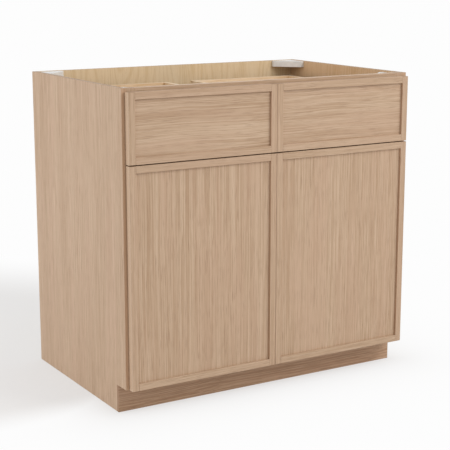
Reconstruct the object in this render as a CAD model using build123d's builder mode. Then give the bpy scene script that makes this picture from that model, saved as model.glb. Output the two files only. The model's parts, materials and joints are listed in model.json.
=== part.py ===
from build123d import *
from math import cos, radians, sin, sqrt
import os

# Kitchen base cabinet with a face frame: two drawers side by side over a pair of doors.
# Millimetres. X runs to the right, Y to the back and Z up. The origin lies on the floor, in the
# middle of the width and in the middle of the depth over the fronts.
# The left half is modelled, and the right half is its mirror image about the YZ plane.

# Overall sizes
cabinet_width = 914.4
cabinet_height = 876.3
cabinet_depth = 584.2  # box with its face frame, without the fronts
toe_height = 76.2
toe_recess = 48.0  # front of the face frame to the face of the toe board

# Boards of the box
side_thickness = 15.0
bottom_thickness = 15.0
back_thickness = 12.0
shelf_thickness = 15.0
toe_board_thickness = 9.5
dado_depth = 5.0  # the bottom panel's seat in the side panels
back_rabbet = 8.0  # the back panel's seat in the side panels

# Face frame
frame_thickness = 19.0
stile_width = 25.0
top_rail_width = 38.0
mid_rail_width = 38.0
bottom_rail_width = 38.0
center_stile_width = 76.2

# Fronts: slim frames round a recessed panel
front_thickness = 20.0
front_gap = 2.0  # room for the bumpers behind a closed front
side_reveal = 9.0
top_reveal = 9.0
fronts_gap = 3.0  # between a drawer front and the door below it
center_gap = 0.8  # between the left and the right fronts
drawer_front_height = 185.8
member_width = 19.0
groove_depth = 7.0
groove_tip_gap = 0.5
tongue_thickness = 6.0
tongue_setback = 3.5  # from the back of the front
edge_ease = 0.8

# Concealed hinges with one pin each
cup_radius = 17.5
cup_depth = 12.0
cup_sheet = 0.8
cup_fit = 0.1
bore_cover = 1.5  # wood left in front of the cup
flange_thickness = 1.0
flange_width = 24.0
flange_height = 58.0
flange_corner = 6.0
flange_screw_pitch = 45.0
flange_screw_offset = 9.5  # from the cup's centre towards the middle of the door
hinge_inset = 90.0  # from the door's ends
pin_radius = 1.0
pin_press_gap = 0.02
pin_running_gap = 0.05
knuckle_radius = 1.7
knuckle_width = 7.2
arm_sheet = 1.5
arm_width = 14.0
arm_floor_gap = 0.3
arm_neck = 10.0  # narrow stretch of the arm beside the pin
corner_clearance = 0.45  # the door's turning corner to the face frame
pin_to_cup_center = 14.5
ear_gap = 0.6
ear_thickness = 2.2
ear_reach = 3.0
ear_rise = 2.2
arm_plate_height = 50.0
arm_plate_margin = 1.5
arm_screw_pitch = 34.0

# Drawer boxes
box_side_gap = 5.0
box_top_gap = 8.8
box_thickness = 12.7
box_lip = 12.7  # below the drawer's bottom
drawer_bottom_thickness = 6.0
bottom_groove = 6.0
rear_space = 38.8  # between the slides and the back panel
tail_count = 4
tail_share = 0.72  # of the pitch, at the wide end
tail_slope = 8.0  # degrees

# Undermount slides
slide_width = 24.0
slide_height = 24.0
slide_gap = 1.0  # beside the drawer's side
channel_height = 10.0
channel_sheet = 1.5
channel_lip = 5.0
runner_gap = 0.4
runner_wall = 1.5
runner_short = 40.0  # the middle member ends this much before the slide does
slide_setback = 1.0
tab_height = 16.0
saddle_wall = 3.0
saddle_grip = 15.0
saddle_fit = 0.3
saddle_plate_height = 34.0
saddle_plate_thickness = 4.0
saddle_screw_drop = 18.0
clip_width = 22.0
clip_length = 46.0
clip_height = 11.0
clip_nose = 6.0

# Corner brackets for the worktop
bracket_leg = 74.0
bracket_tip = 10.0
bracket_height = 18.0
front_bracket_drop = 5.0  # below the top edge
back_bracket_drop = 1.0
bracket_wall = 3.0
bracket_rib = 2.0
bracket_rib_inset = 34.0  # from the walls of the corner to the middle of a rib
bracket_hole_radius = 2.6
bracket_hole_inset = 24.0
bracket_screw_inset = 44.0

# Shelf, shelf pins and bumpers
shelf_side_gap = 1.5
shelf_setback = 40.0  # behind the face frame
shelf_back_gap = 3.0
pin_hole_radius = 2.5
pin_hole_depth = 10.0
pin_hole_pitch = 32.0
pin_hole_rows = 5
pin_hole_rise = 220.0  # lowest row above the bottom panel
pin_hole_inset = 70.0  # from the shelf's front and back edges
pin_fit = 0.1
pin_sides = 12  # flats of the shelf pins, the bumpers and the hinges' knuckles and ears
pin_pad_length = 11.0
pin_pad_width = 12.0
pin_pad_thickness = 2.0
bumper_radius = 4.0
bumper_inset = 11.0
bumper_gap = 0.1

# Screws, drawn with flat sides
screw_sides = 6
screw_shank_radius = 1.6
screw_head_radius = 3.4
screw_head_height = 1.8
screw_flat_head_height = 0.6
screw_fit = 0.1
screw_bite = 9.0  # length in the wood

# Places worked out from the sizes
half_width = cabinet_width / 2
total_depth = cabinet_depth + front_gap + front_thickness
front_y = -total_depth / 2
front_back_y = front_y + front_thickness
frame_y = front_back_y + front_gap
frame_back_y = frame_y + frame_thickness
back_y = frame_y + cabinet_depth
back_inner_y = back_y - back_thickness
side_inner_x = -half_width + side_thickness
opening_x = side_inner_x + stile_width
center_x = -center_stile_width / 2
toe_board_back_y = frame_y + toe_recess + toe_board_thickness
deck_top = toe_height + bottom_rail_width
deck_bottom = deck_top - bottom_thickness

front_left_x = -half_width + side_reveal
front_right_x = -center_gap / 2
front_mid_x = (front_left_x + front_right_x) / 2
front_mid_y = front_y + front_thickness / 2
rail_length = front_right_x - front_left_x - 2 * member_width
tenon_length = groove_depth - groove_tip_gap
tongue_y = front_back_y - tongue_setback - tongue_thickness / 2
panel_thickness = cup_depth + bore_cover
drawer_front_top = cabinet_height - top_reveal
drawer_front_bottom = drawer_front_top - drawer_front_height
door_top = drawer_front_bottom - fronts_gap
door_bottom = toe_height
mid_rail_z = (drawer_front_bottom + door_top) / 2
mid_rail_top = mid_rail_z + mid_rail_width / 2
mid_rail_bottom = mid_rail_z - mid_rail_width / 2
top_rail_bottom = cabinet_height - top_rail_width

# The pin lies as close to the door's edge as its back corner can turn past the face frame
pin_depth = cup_depth - cup_sheet - arm_floor_gap - knuckle_radius
pin_inset = sqrt((pin_depth + front_gap - corner_clearance) ** 2 - pin_depth**2)
pin_x = front_left_x + pin_inset
pin_y = front_back_y - pin_depth
cup_x = pin_x + pin_to_cup_center
hinge_heights = (door_bottom + hinge_inset, door_top - hinge_inset)
ear_inner = knuckle_width / 2 + ear_gap
ear_outer = ear_inner + ear_thickness

# Drawer boxes stand on the slides, which stand on the middle rail
slide_bottom = mid_rail_top
slide_top = slide_bottom + slide_height
box_left_x = opening_x + box_side_gap
box_right_x = center_x - box_side_gap
box_mid_x = (box_left_x + box_right_x) / 2
box_bottom = slide_top - box_lip
box_top = top_rail_bottom - box_top_gap
box_height = box_top - box_bottom
box_front_y = front_back_y
slide_front_y = frame_y + slide_setback
slide_length = back_inner_y - rear_space - slide_front_y
box_back_y = slide_front_y + slide_length
box_inner_front_y = box_front_y + box_thickness
box_inner_back_y = box_back_y - box_thickness
runner_front_y = box_inner_front_y + slide_setback
runner_length = slide_length - runner_short
carriage_length = slide_front_y + slide_length - runner_front_y
slide_offset = box_thickness + slide_gap + slide_width / 2
slide_places = (box_left_x + slide_offset, box_right_x - slide_offset)

# Wall behind each bracket, the direction away from that wall, and the bracket's top
bracket_places = {
    "front": (frame_back_y, 1, cabinet_height - front_bracket_drop),
    "back": (back_inner_y, -1, cabinet_height - back_bracket_drop),
}
shelf_front_y = frame_back_y + shelf_setback
shelf_back_y = back_inner_y - shelf_back_gap
pin_hole_columns = (shelf_front_y + pin_hole_inset, shelf_back_y - pin_hole_inset)
pin_hole_bottom = deck_top + pin_hole_rise
shelf_pin_z = pin_hole_bottom + pin_hole_rows // 2 * pin_hole_pitch
shelf_bottom = shelf_pin_z + pin_hole_radius

LOW = (Align.MIN, Align.MIN, Align.MIN)
BELOW_PLACE = (Align.CENTER, Align.CENTER, Align.MAX)

os.makedirs("parts", exist_ok=True)


def board(low, high):
    """Add a square-edged board between two opposite corners to the open part."""
    with Locations(low):
        Box(high[0] - low[0], high[1] - low[1], high[2] - low[2], align=LOW)


def trench(low, high):
    """Cut a square groove, dado or notch between two opposite corners out of the open part."""
    with Locations(low):
        Box(high[0] - low[0], high[1] - low[1], high[2] - low[2], align=LOW, mode=Mode.SUBTRACT)


def facing_front(y):
    """Return the upright plane at depth y that looks to the front, with X across and Z up."""
    return Plane.XZ.offset(-y)


def drill(places, radius, depth):
    """Cut round holes into the open part, down from each plane."""
    with Locations(*places):
        Cylinder(radius, depth, align=BELOW_PLACE, mode=Mode.SUBTRACT)


def place(shape, places, mode=Mode.ADD):
    """Add a finished shape to the open part at each plane, or cut it out there."""
    with Locations(*places):
        add(shape, mode=mode)


def prism(sides, radius, length):
    """Return a bar with flat sides that reaches down from the XY plane."""
    with BuildPart() as bar:
        with BuildSketch():
            RegularPolygon(radius, sides)
        extrude(amount=-length)
    return bar.part


def screw(reach, head_height=screw_head_height):
    """Return a screw whose head stands on the XY plane and whose shank reaches below it."""
    with BuildPart() as head_and_shank:
        with BuildSketch():
            RegularPolygon(screw_head_radius, screw_sides)
        extrude(amount=head_height)
        with BuildSketch():
            RegularPolygon(screw_shank_radius, screw_sides)
        extrude(amount=-reach)
    return head_and_shank.part


def pilot(reach):
    """Return the hole that a screw of that reach needs."""
    return prism(screw_sides, screw_shank_radius + screw_fit, reach)


def save(part, label):
    """Label a finished piece and write it to its own file."""
    part.label = label
    export_step(part, f"parts/{label}.step")


def save_pair(piece, pattern):
    """Write a left-hand piece, and its mirror image as the right-hand one."""
    save(piece.part, pattern.format("left"))
    save(mirror(piece.part, about=Plane.YZ), pattern.format("right"))


# Screw places of the left half: each plane's normal points out of the screw's head
def bracket_screw_places(corner_y, inward, bracket_top):
    """One screw into the side panel and one into the back panel or the face frame."""
    screw_z = bracket_top - (bracket_height + bracket_wall) / 2
    along_side = (side_inner_x + bracket_wall, corner_y + inward * bracket_screw_inset, screw_z)
    along_wall = (side_inner_x + bracket_screw_inset, corner_y + inward * bracket_wall, screw_z)
    return [
        Plane(origin=along_side, z_dir=(1, 0, 0)),
        Plane(origin=along_wall, z_dir=(0, inward, 0)),
    ]


bracket_screws = [plane for corner in bracket_places.values() for plane in bracket_screw_places(*corner)]
arm_screws = [
    Plane(origin=(opening_x + arm_sheet, frame_y + frame_thickness / 2, z + step), z_dir=(1, 0, 0))
    for z in hinge_heights
    for step in (-arm_screw_pitch / 2, arm_screw_pitch / 2)
]
flange_screws = [
    Plane(origin=(cup_x + flange_screw_offset, front_back_y + flange_thickness, z + step), z_dir=(0, 1, 0))
    for z in hinge_heights
    for step in (-flange_screw_pitch / 2, flange_screw_pitch / 2)
]
tab_screws = [
    Plane(origin=(x, frame_back_y + channel_sheet, slide_bottom - tab_height / 2), z_dir=(0, 1, 0))
    for x in slide_places
]
saddle_screws = [
    Plane(
        origin=(x + step, back_inner_y - saddle_plate_thickness, slide_bottom - saddle_screw_drop),
        z_dir=(0, -1, 0),
    )
    for x in slide_places
    for step in (-slide_width / 3, slide_width / 3)
]
drawer_front_screws = [
    Plane(origin=(box_mid_x + step_x, box_inner_front_y, (slide_top + box_top) / 2 + step_z), z_dir=(0, 1, 0))
    for step_x in (-rail_length / 4, rail_length / 4)
    for step_z in (-box_height / 5, box_height / 5)
]
bracket_screw_reach = bracket_wall + screw_bite
arm_screw_reach = arm_sheet + screw_bite
flange_screw_reach = flange_thickness + screw_bite
tab_screw_reach = channel_sheet + screw_bite
saddle_screw_reach = saddle_plate_thickness + back_thickness / 2
drawer_front_screw_reach = box_thickness + panel_thickness / 2
bracket_pilot = pilot(bracket_screw_reach)
arm_pilot = pilot(arm_screw_reach)
flange_pilot = pilot(flange_screw_reach)
tab_pilot = pilot(tab_screw_reach)
saddle_pilot = pilot(saddle_screw_reach)
drawer_front_pilot = pilot(drawer_front_screw_reach)

# Side panels: toe notch, dado for the bottom panel, rabbet for the back, shelf pin holes
pin_hole_places = [
    Plane(origin=(side_inner_x, y, pin_hole_bottom + row * pin_hole_pitch), z_dir=(1, 0, 0))
    for y in pin_hole_columns
    for row in range(pin_hole_rows)
]
pin_hole = prism(pin_sides, pin_hole_radius, pin_hole_depth)
with BuildPart() as side_panel:
    with BuildSketch(Plane.YZ.offset(-half_width)):
        with BuildLine():
            Polyline(
                (frame_y, toe_height),
                (frame_y, cabinet_height),
                (back_y, cabinet_height),
                (back_y, 0),
                (toe_board_back_y, 0),
                (toe_board_back_y, toe_height),
                close=True,
            )
        make_face()
    extrude(amount=side_thickness)
    trench((side_inner_x - dado_depth, frame_back_y, deck_bottom), (side_inner_x, back_inner_y, deck_top))
    trench((side_inner_x - back_rabbet, back_inner_y, 0), (side_inner_x, back_y, cabinet_height))
    place(pin_hole, pin_hole_places, Mode.SUBTRACT)
    place(bracket_pilot, bracket_screws, Mode.SUBTRACT)
save_pair(side_panel, "{}_side_panel")

# Bottom panel, back panel and toe board
with BuildPart() as bottom_panel:
    deck_x = side_inner_x - dado_depth
    board((deck_x, frame_back_y, deck_bottom), (-deck_x, back_inner_y, deck_top))
save(bottom_panel.part, "bottom_panel")

with BuildPart() as back_panel:
    back_x = side_inner_x - back_rabbet
    board((back_x, back_inner_y, 0), (-back_x, back_y, cabinet_height))
    place(bracket_pilot, bracket_screws, Mode.SUBTRACT)
    place(saddle_pilot, saddle_screws, Mode.SUBTRACT)
    mirror(about=Plane.YZ, mode=Mode.INTERSECT)
save(back_panel.part, "back_panel")

# The toe board covers the ends of the side panels and rises between them to carry the bottom panel
with BuildPart() as toe_kick:
    with BuildSketch(facing_front(toe_board_back_y)):
        with Locations((0, toe_height / 2)):
            Rectangle(cabinet_width, toe_height)
        with Locations((0, deck_bottom / 2)):
            Rectangle(-2 * side_inner_x, deck_bottom)
    extrude(amount=toe_board_thickness)
save(toe_kick.part, "toe_kick")

# Face frame
with BuildPart() as frame_stile:
    board((side_inner_x, frame_y, toe_height), (opening_x, frame_back_y, cabinet_height))
    place(arm_pilot, arm_screws, Mode.SUBTRACT)
save_pair(frame_stile, "face_frame_{}_stile")

with BuildPart() as frame_top_rail:
    board((opening_x, frame_y, top_rail_bottom), (-opening_x, frame_back_y, cabinet_height))
    place(bracket_pilot, bracket_screws, Mode.SUBTRACT)
    mirror(about=Plane.YZ, mode=Mode.INTERSECT)
save(frame_top_rail.part, "face_frame_top_rail")

with BuildPart() as frame_mid_rail:
    board((opening_x, frame_y, mid_rail_bottom), (-opening_x, frame_back_y, mid_rail_top))
    place(tab_pilot, tab_screws, Mode.SUBTRACT)
    mirror(about=Plane.YZ, mode=Mode.INTERSECT)
save(frame_mid_rail.part, "face_frame_mid_rail")

with BuildPart() as frame_bottom_rail:
    board((opening_x, frame_y, toe_height), (-opening_x, frame_back_y, deck_top))
save(frame_bottom_rail.part, "face_frame_bottom_rail")

with BuildPart() as frame_center_stile:
    board((center_x, frame_y, mid_rail_top), (-center_x, frame_back_y, top_rail_bottom))
save(frame_center_stile.part, "face_frame_center_stile")

# Corner brackets: moulded triangles, hollow from below, with ribs round the worktop screw's hole
for corner, (corner_y, inward, bracket_top) in bracket_places.items():
    bracket_bottom = bracket_top - bracket_height
    with BuildPart() as bracket:
        with BuildSketch(Plane.XY.offset(bracket_bottom)) as outline:
            with BuildLine():
                Polyline(
                    (side_inner_x, corner_y),
                    (side_inner_x + bracket_leg, corner_y),
                    (side_inner_x + bracket_leg, corner_y + inward * bracket_tip),
                    (side_inner_x + bracket_tip, corner_y + inward * bracket_leg),
                    (side_inner_x, corner_y + inward * bracket_leg),
                    close=True,
                )
            make_face()
        extrude(amount=bracket_height)
        with BuildSketch(Plane.XY.offset(bracket_bottom)):
            add(outline.sketch)
            offset(amount=-bracket_wall, mode=Mode.REPLACE, kind=Kind.INTERSECTION)
            with Locations((side_inner_x + bracket_rib_inset, corner_y)):
                Rectangle(bracket_rib, 2 * bracket_leg, mode=Mode.SUBTRACT)
            with Locations((side_inner_x, corner_y + inward * bracket_rib_inset)):
                Rectangle(2 * bracket_leg, bracket_rib, mode=Mode.SUBTRACT)
        extrude(amount=bracket_height - bracket_wall, mode=Mode.SUBTRACT)
        hole_place = (side_inner_x + bracket_hole_inset, corner_y + inward * bracket_hole_inset, bracket_top)
        drill([hole_place], bracket_hole_radius, bracket_wall)
        place(bracket_pilot, bracket_screws, Mode.SUBTRACT)
    save_pair(bracket, "corner_bracket_" + corner + "_{}")

# Shelf on four pins
with BuildPart() as shelf:
    shelf_x = side_inner_x + shelf_side_gap
    board((shelf_x, shelf_front_y, shelf_bottom), (-shelf_x, shelf_back_y, shelf_bottom + shelf_thickness))
save(shelf.part, "shelf")

pin_shank = prism(pin_sides, pin_hole_radius - pin_fit, pin_hole_depth - pin_fit)
pin_collar = prism(pin_sides, pin_hole_radius, pin_pad_thickness)
with BuildPart() as shelf_pins:
    for pin_column_y in pin_hole_columns:
        collar_x = side_inner_x + pin_pad_thickness
        place(pin_shank, [Plane(origin=(side_inner_x, pin_column_y, shelf_pin_z), z_dir=(1, 0, 0))])
        place(pin_collar, [Plane(origin=(collar_x, pin_column_y, shelf_pin_z), z_dir=(1, 0, 0))])
        pad_low_y = pin_column_y - pin_pad_width / 2
        pad_low = (side_inner_x, pad_low_y, shelf_bottom - pin_pad_thickness)
        pad_high = (side_inner_x + pin_pad_length, pad_low_y + pin_pad_width, shelf_bottom)
        board(pad_low, pad_high)
    mirror(about=Plane.YZ)
save(shelf_pins.part, "shelf_pins")

# Bumpers on the face frame behind the free corners of the doors and the sides of the drawers
drawer_front_mid_z = (drawer_front_bottom + drawer_front_top) / 2
bumper_places = (
    (front_right_x - bumper_inset, door_top - bumper_inset),
    (front_right_x - bumper_inset, door_bottom + bumper_inset),
    (front_right_x - bumper_inset, drawer_front_mid_z),
    (side_inner_x + bumper_inset, drawer_front_mid_z),
)
with BuildPart() as bumpers:
    with BuildSketch(facing_front(frame_y)):
        with Locations(*bumper_places):
            RegularPolygon(bumper_radius, pin_sides)
    extrude(amount=front_gap - bumper_gap)
    mirror(about=Plane.YZ)
save(bumpers.part, "bumpers")

# Fronts: grooved stiles and rails, rails with stub tenons, panel with a tongue all round
cup_places = [Plane(origin=(cup_x, front_back_y, z), z_dir=(0, 1, 0)) for z in hinge_heights]


def front_stiles(z_low, z_high, cups):
    """Return the two upright members of a front, bored for hinge cups at the given planes."""
    with BuildPart() as stiles:
        with BuildSketch(Plane.XY.offset(z_low)):
            for edge_x, inward in ((front_left_x, 1), (front_right_x, -1)):
                with Locations((edge_x + inward * member_width / 2, front_mid_y)):
                    Rectangle(member_width, front_thickness)
                with Locations((edge_x + inward * (member_width - groove_depth / 2), tongue_y)):
                    Rectangle(groove_depth, tongue_thickness, mode=Mode.SUBTRACT)
        extrude(amount=z_high - z_low)
        chamfer(stiles.faces().group_by(Axis.Y)[0].edges(), edge_ease)
        if cups:
            drill(cups, cup_radius + cup_fit, cup_depth + cup_fit)
    return stiles


def front_rails(z_low, z_high):
    """Return the two level members of a front, with tenons in the grooves of the stiles."""
    with BuildPart() as rails:
        with BuildSketch(Plane.YZ.offset(front_left_x + member_width)):
            for edge_z, inward in ((z_low, 1), (z_high, -1)):
                with Locations((front_mid_y, edge_z + inward * member_width / 2)):
                    Rectangle(front_thickness, member_width)
                with Locations((tongue_y, edge_z + inward * (member_width - groove_depth / 2))):
                    Rectangle(tongue_thickness, groove_depth, mode=Mode.SUBTRACT)
        extrude(amount=rail_length)
        chamfer(rails.edges().filter_by(Axis.X).group_by(Axis.Y)[0], edge_ease)
        with BuildSketch(Plane.YZ.offset(front_left_x + member_width - tenon_length)):
            for edge_z, inward in ((z_low, 1), (z_high, -1)):
                with Locations((tongue_y, edge_z + inward * (member_width - groove_depth) / 2)):
                    Rectangle(tongue_thickness, member_width - groove_depth)
        extrude(amount=rail_length + 2 * tenon_length)
    return rails


def front_panel(z_low, z_high, cups, screw_pilot, screws):
    """Return the recessed panel of a front, bored for hinge cups and for screws."""
    panel_height = z_high - z_low - 2 * member_width
    with BuildPart() as panel:
        with BuildSketch(facing_front(front_back_y)):
            with Locations((front_mid_x, (z_low + z_high) / 2)):
                Rectangle(rail_length, panel_height)
        extrude(amount=panel_thickness)
        with BuildSketch(facing_front(tongue_y + tongue_thickness / 2)):
            with Locations((front_mid_x, (z_low + z_high) / 2)):
                Rectangle(rail_length + 2 * tenon_length, panel_height + 2 * tenon_length)
        extrude(amount=tongue_thickness)
        if cups:
            drill(cups, cup_radius + cup_fit, cup_depth + cup_fit)
        place(screw_pilot, screws, Mode.SUBTRACT)
    return panel


save_pair(front_stiles(door_bottom, door_top, cup_places), "{}_door_stiles")
save_pair(front_rails(door_bottom, door_top), "{}_door_rails")
door_panel = front_panel(door_bottom, door_top, cup_places, flange_pilot, flange_screws)
save_pair(door_panel, "{}_door_panel")
save_pair(front_stiles(drawer_front_bottom, drawer_front_top, []), "{}_drawer_front_stiles")
save_pair(front_rails(drawer_front_bottom, drawer_front_top), "{}_drawer_front_rails")
drawer_panel = front_panel(
    drawer_front_bottom, drawer_front_top, [], drawer_front_pilot, drawer_front_screws
)
save_pair(drawer_panel, "{}_drawer_front_panel")

# Hinge cups: deep-drawn cups with a screw flange on the door's back and two ears for the pin
cup_cavity_depth = cup_depth - cup_sheet
ear_top_depth = pin_depth - ear_rise
pin_socket = prism(pin_sides, (pin_radius + pin_press_gap) / cos(radians(180 / pin_sides)), 2 * ear_outer)
with BuildPart() as hinge_cups:
    for hinge_z in hinge_heights:
        with BuildSketch(facing_front(front_back_y)):
            with Locations((cup_x, hinge_z)):
                Circle(cup_radius)
        extrude(amount=cup_depth)
        with BuildSketch(facing_front(front_back_y + flange_thickness)) as flange:
            with Locations((cup_x + flange_screw_offset / 2, hinge_z)):
                Rectangle(flange_width, flange_height)
            chamfer(flange.vertices(), flange_corner)
        extrude(amount=flange_thickness)
        with BuildSketch(facing_front(front_back_y + flange_thickness)):
            with Locations((cup_x, hinge_z)):
                Circle(cup_radius - cup_sheet)
        extrude(amount=flange_thickness + ear_top_depth, mode=Mode.SUBTRACT)
        with BuildSketch(facing_front(front_back_y - ear_top_depth)):
            with Locations((cup_x, hinge_z)):
                Circle(cup_radius - cup_sheet)
            ear_low_x = cup_x - cup_radius
            ear_width = pin_x + ear_reach - ear_low_x
            for ear_z in (hinge_z - ear_outer, hinge_z + ear_inner):
                with Locations((ear_low_x, ear_z)):
                    Rectangle(ear_width, ear_thickness, align=(Align.MIN, Align.MIN), mode=Mode.SUBTRACT)
        extrude(amount=cup_cavity_depth - ear_top_depth, mode=Mode.SUBTRACT)
        place(pin_socket, [Plane(origin=(pin_x, pin_y, hinge_z + ear_outer))], Mode.SUBTRACT)
    place(flange_pilot, flange_screws, Mode.SUBTRACT)
save_pair(hinge_cups, "{}_door_hinge_cups")

with BuildPart() as hinge_pins:
    with Locations(*[(pin_x, pin_y, hinge_z) for hinge_z in hinge_heights]):
        Cylinder(pin_radius, 2 * ear_outer)
save_pair(hinge_pins, "{}_door_hinge_pins")

flange_screw = screw(flange_screw_reach, screw_flat_head_height)
with BuildPart() as hinge_screws:
    place(flange_screw, flange_screws)
save_pair(hinge_screws, "{}_door_hinge_screws")

# Hinge arms: a rolled knuckle on the pin, a strip along the cup's floor, a leg round the stile's edge
arm_low_y = pin_y - knuckle_radius
arm_reach_x = opening_x + arm_sheet
with BuildPart() as hinge_arms:
    for hinge_z in hinge_heights:
        with BuildSketch(Plane.XY.offset(hinge_z - knuckle_width / 2)):
            with Locations((pin_x, pin_y)):
                RegularPolygon(knuckle_radius, pin_sides)
            with Locations((pin_x, arm_low_y)):
                Rectangle(arm_neck + arm_sheet, arm_sheet, align=(Align.MIN, Align.MIN))
            with Locations((pin_x, pin_y)):
                Circle(pin_radius + pin_running_gap, mode=Mode.SUBTRACT)
        extrude(amount=knuckle_width)
        with BuildSketch(Plane.XY.offset(hinge_z - arm_width / 2)):
            with Locations((pin_x + arm_neck, arm_low_y)):
                Rectangle(arm_reach_x - pin_x - arm_neck, arm_sheet, align=(Align.MIN, Align.MIN))
            with Locations((opening_x, arm_low_y)):
                leg_length = frame_y + arm_plate_margin + arm_sheet - arm_low_y
                Rectangle(arm_sheet, leg_length, align=(Align.MIN, Align.MIN))
        extrude(amount=arm_width)
        plate_low = (opening_x, frame_y + arm_plate_margin, hinge_z - arm_plate_height / 2)
        plate_high = (arm_reach_x, frame_back_y - arm_plate_margin, hinge_z + arm_plate_height / 2)
        board(plate_low, plate_high)
    place(arm_pilot, arm_screws, Mode.SUBTRACT)
    mirror(about=Plane.YZ)
save(hinge_arms.part, "hinge_arms")

# Drawer boxes: dovetailed sides, front and back round a grooved-in bottom
tail_pitch = (box_top - slide_top) / tail_count
tail_end_width = tail_pitch * tail_share
tail_root_width = tail_end_width - 2 * box_thickness * sin(radians(tail_slope)) / cos(radians(tail_slope))
tail_heights = [slide_top + (row + 0.5) * tail_pitch for row in range(tail_count)]
drawer_bottom_z = slide_top
drawer_bottom_top = drawer_bottom_z + drawer_bottom_thickness


def tail_outlines(end_y, root_y):
    """Draw the tails of one end of a drawer's side in the open sketch on the YZ plane."""
    for tail_z in tail_heights:
        with BuildLine() as tail:
            Polyline(
                (end_y, tail_z - tail_end_width / 2),
                (end_y, tail_z + tail_end_width / 2),
                (root_y, tail_z + tail_root_width / 2),
                (root_y, tail_z - tail_root_width / 2),
                close=True,
            )
        make_face(tail.line)


def box_side(outer_x, inward):
    """Return one side of a drawer box, with tails at both ends and a groove for the bottom."""
    inner_x = outer_x + inward * box_thickness
    low_x = min(outer_x, inner_x)
    with BuildPart() as side:
        board((low_x, box_front_y, box_bottom), (low_x + box_thickness, box_back_y, slide_top))
        board((low_x, box_inner_front_y, slide_top), (low_x + box_thickness, box_inner_back_y, box_top))
        with BuildSketch(Plane.YZ.offset(low_x)):
            tail_outlines(box_front_y, box_inner_front_y)
            tail_outlines(box_back_y, box_inner_back_y)
        extrude(amount=box_thickness)
        groove_x = min(inner_x, inner_x - inward * bottom_groove)
        trench(
            (groove_x, box_inner_front_y - bottom_groove, drawer_bottom_z),
            (groove_x + bottom_groove, box_inner_back_y + bottom_groove, drawer_bottom_top),
        )
    return side


def box_end(outer_y, inner_y, groove_y):
    """Return the front or the back of a drawer box, with sockets for the tails of the sides."""
    low_y = min(outer_y, inner_y)
    with BuildPart() as end:
        board((box_left_x, low_y, slide_top), (box_right_x, low_y + box_thickness, box_top))
        board(
            (box_left_x + box_thickness, low_y, box_bottom),
            (box_right_x - box_thickness, low_y + box_thickness, slide_top),
        )
        for socket_x in (box_left_x, box_right_x - box_thickness):
            with BuildSketch(Plane.YZ.offset(socket_x)):
                tail_outlines(outer_y, inner_y)
            extrude(amount=box_thickness, mode=Mode.SUBTRACT)
        trench(
            (box_left_x + box_thickness - bottom_groove, groove_y, drawer_bottom_z),
            (box_right_x - box_thickness + bottom_groove, groove_y + bottom_groove, drawer_bottom_top),
        )
        if outer_y == box_back_y:
            for slide_x in slide_places:
                notch_x = slide_x - slide_width / 2 - slide_gap
                trench(
                    (notch_x, low_y, box_bottom),
                    (notch_x + slide_width + 2 * slide_gap, box_back_y, drawer_bottom_z),
                )
        else:
            place(drawer_front_pilot, drawer_front_screws, Mode.SUBTRACT)
    return end


save_pair(box_side(box_left_x, 1), "{}_drawer_outer_side")
save_pair(box_side(box_right_x, -1), "{}_drawer_inner_side")
save_pair(box_end(box_front_y, box_inner_front_y, box_inner_front_y - bottom_groove), "{}_drawer_box_front")
save_pair(box_end(box_back_y, box_inner_back_y, box_inner_back_y), "{}_drawer_box_back")

with BuildPart() as drawer_bottom:
    bottom_reach = bottom_groove - groove_tip_gap
    board(
        (box_left_x + box_thickness - bottom_reach, box_inner_front_y - bottom_reach, drawer_bottom_z),
        (box_right_x - box_thickness + bottom_reach, box_inner_back_y + bottom_reach, drawer_bottom_top),
    )
save_pair(drawer_bottom, "{}_drawer_bottom")

drawer_front_screw = screw(drawer_front_screw_reach)
with BuildPart() as drawer_screws:
    place(drawer_front_screw, drawer_front_screws)
save_pair(drawer_screws, "{}_drawer_front_screws")

# Slides: lipped channels on the drawer and on the cabinet, and a runner between them
lip_opening = slide_width - 2 * channel_lip
runner_flange_width = slide_width - 2 * (channel_sheet + runner_gap)
runner_flange_height = channel_height - 2 * (channel_sheet + runner_gap)
runner_web_width = lip_opening - 2 * runner_gap
runner_height = slide_height - 2 * (channel_sheet + runner_gap)
slide_mid_z = (slide_bottom + slide_top) / 2

with BuildPart() as drawer_channels:
    with BuildSketch(facing_front(runner_front_y + carriage_length)):
        for slide_x in slide_places:
            with Locations((slide_x, slide_top - channel_height / 2)):
                Rectangle(slide_width, channel_height)
                Rectangle(
                    slide_width - 2 * channel_sheet, channel_height - 2 * channel_sheet, mode=Mode.SUBTRACT
                )
            with Locations((slide_x, slide_top - channel_height + channel_sheet / 2)):
                Rectangle(lip_opening, channel_sheet, mode=Mode.SUBTRACT)
    extrude(amount=carriage_length)
save_pair(drawer_channels, "{}_drawer_slide_channels")

with BuildPart() as middle_slides:
    with BuildSketch(facing_front(runner_front_y + runner_length)):
        for slide_x in slide_places:
            with Locations((slide_x, slide_mid_z)):
                Rectangle(runner_web_width, runner_height)
            flange_rise = (runner_height - runner_flange_height) / 2
            with Locations((slide_x, slide_mid_z - flange_rise), (slide_x, slide_mid_z + flange_rise)):
                Rectangle(runner_flange_width, runner_flange_height)
        offset(amount=-runner_wall, kind=Kind.INTERSECTION, mode=Mode.SUBTRACT)
    extrude(amount=runner_length)
save_pair(middle_slides, "{}_drawer_middle_slides")

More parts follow.
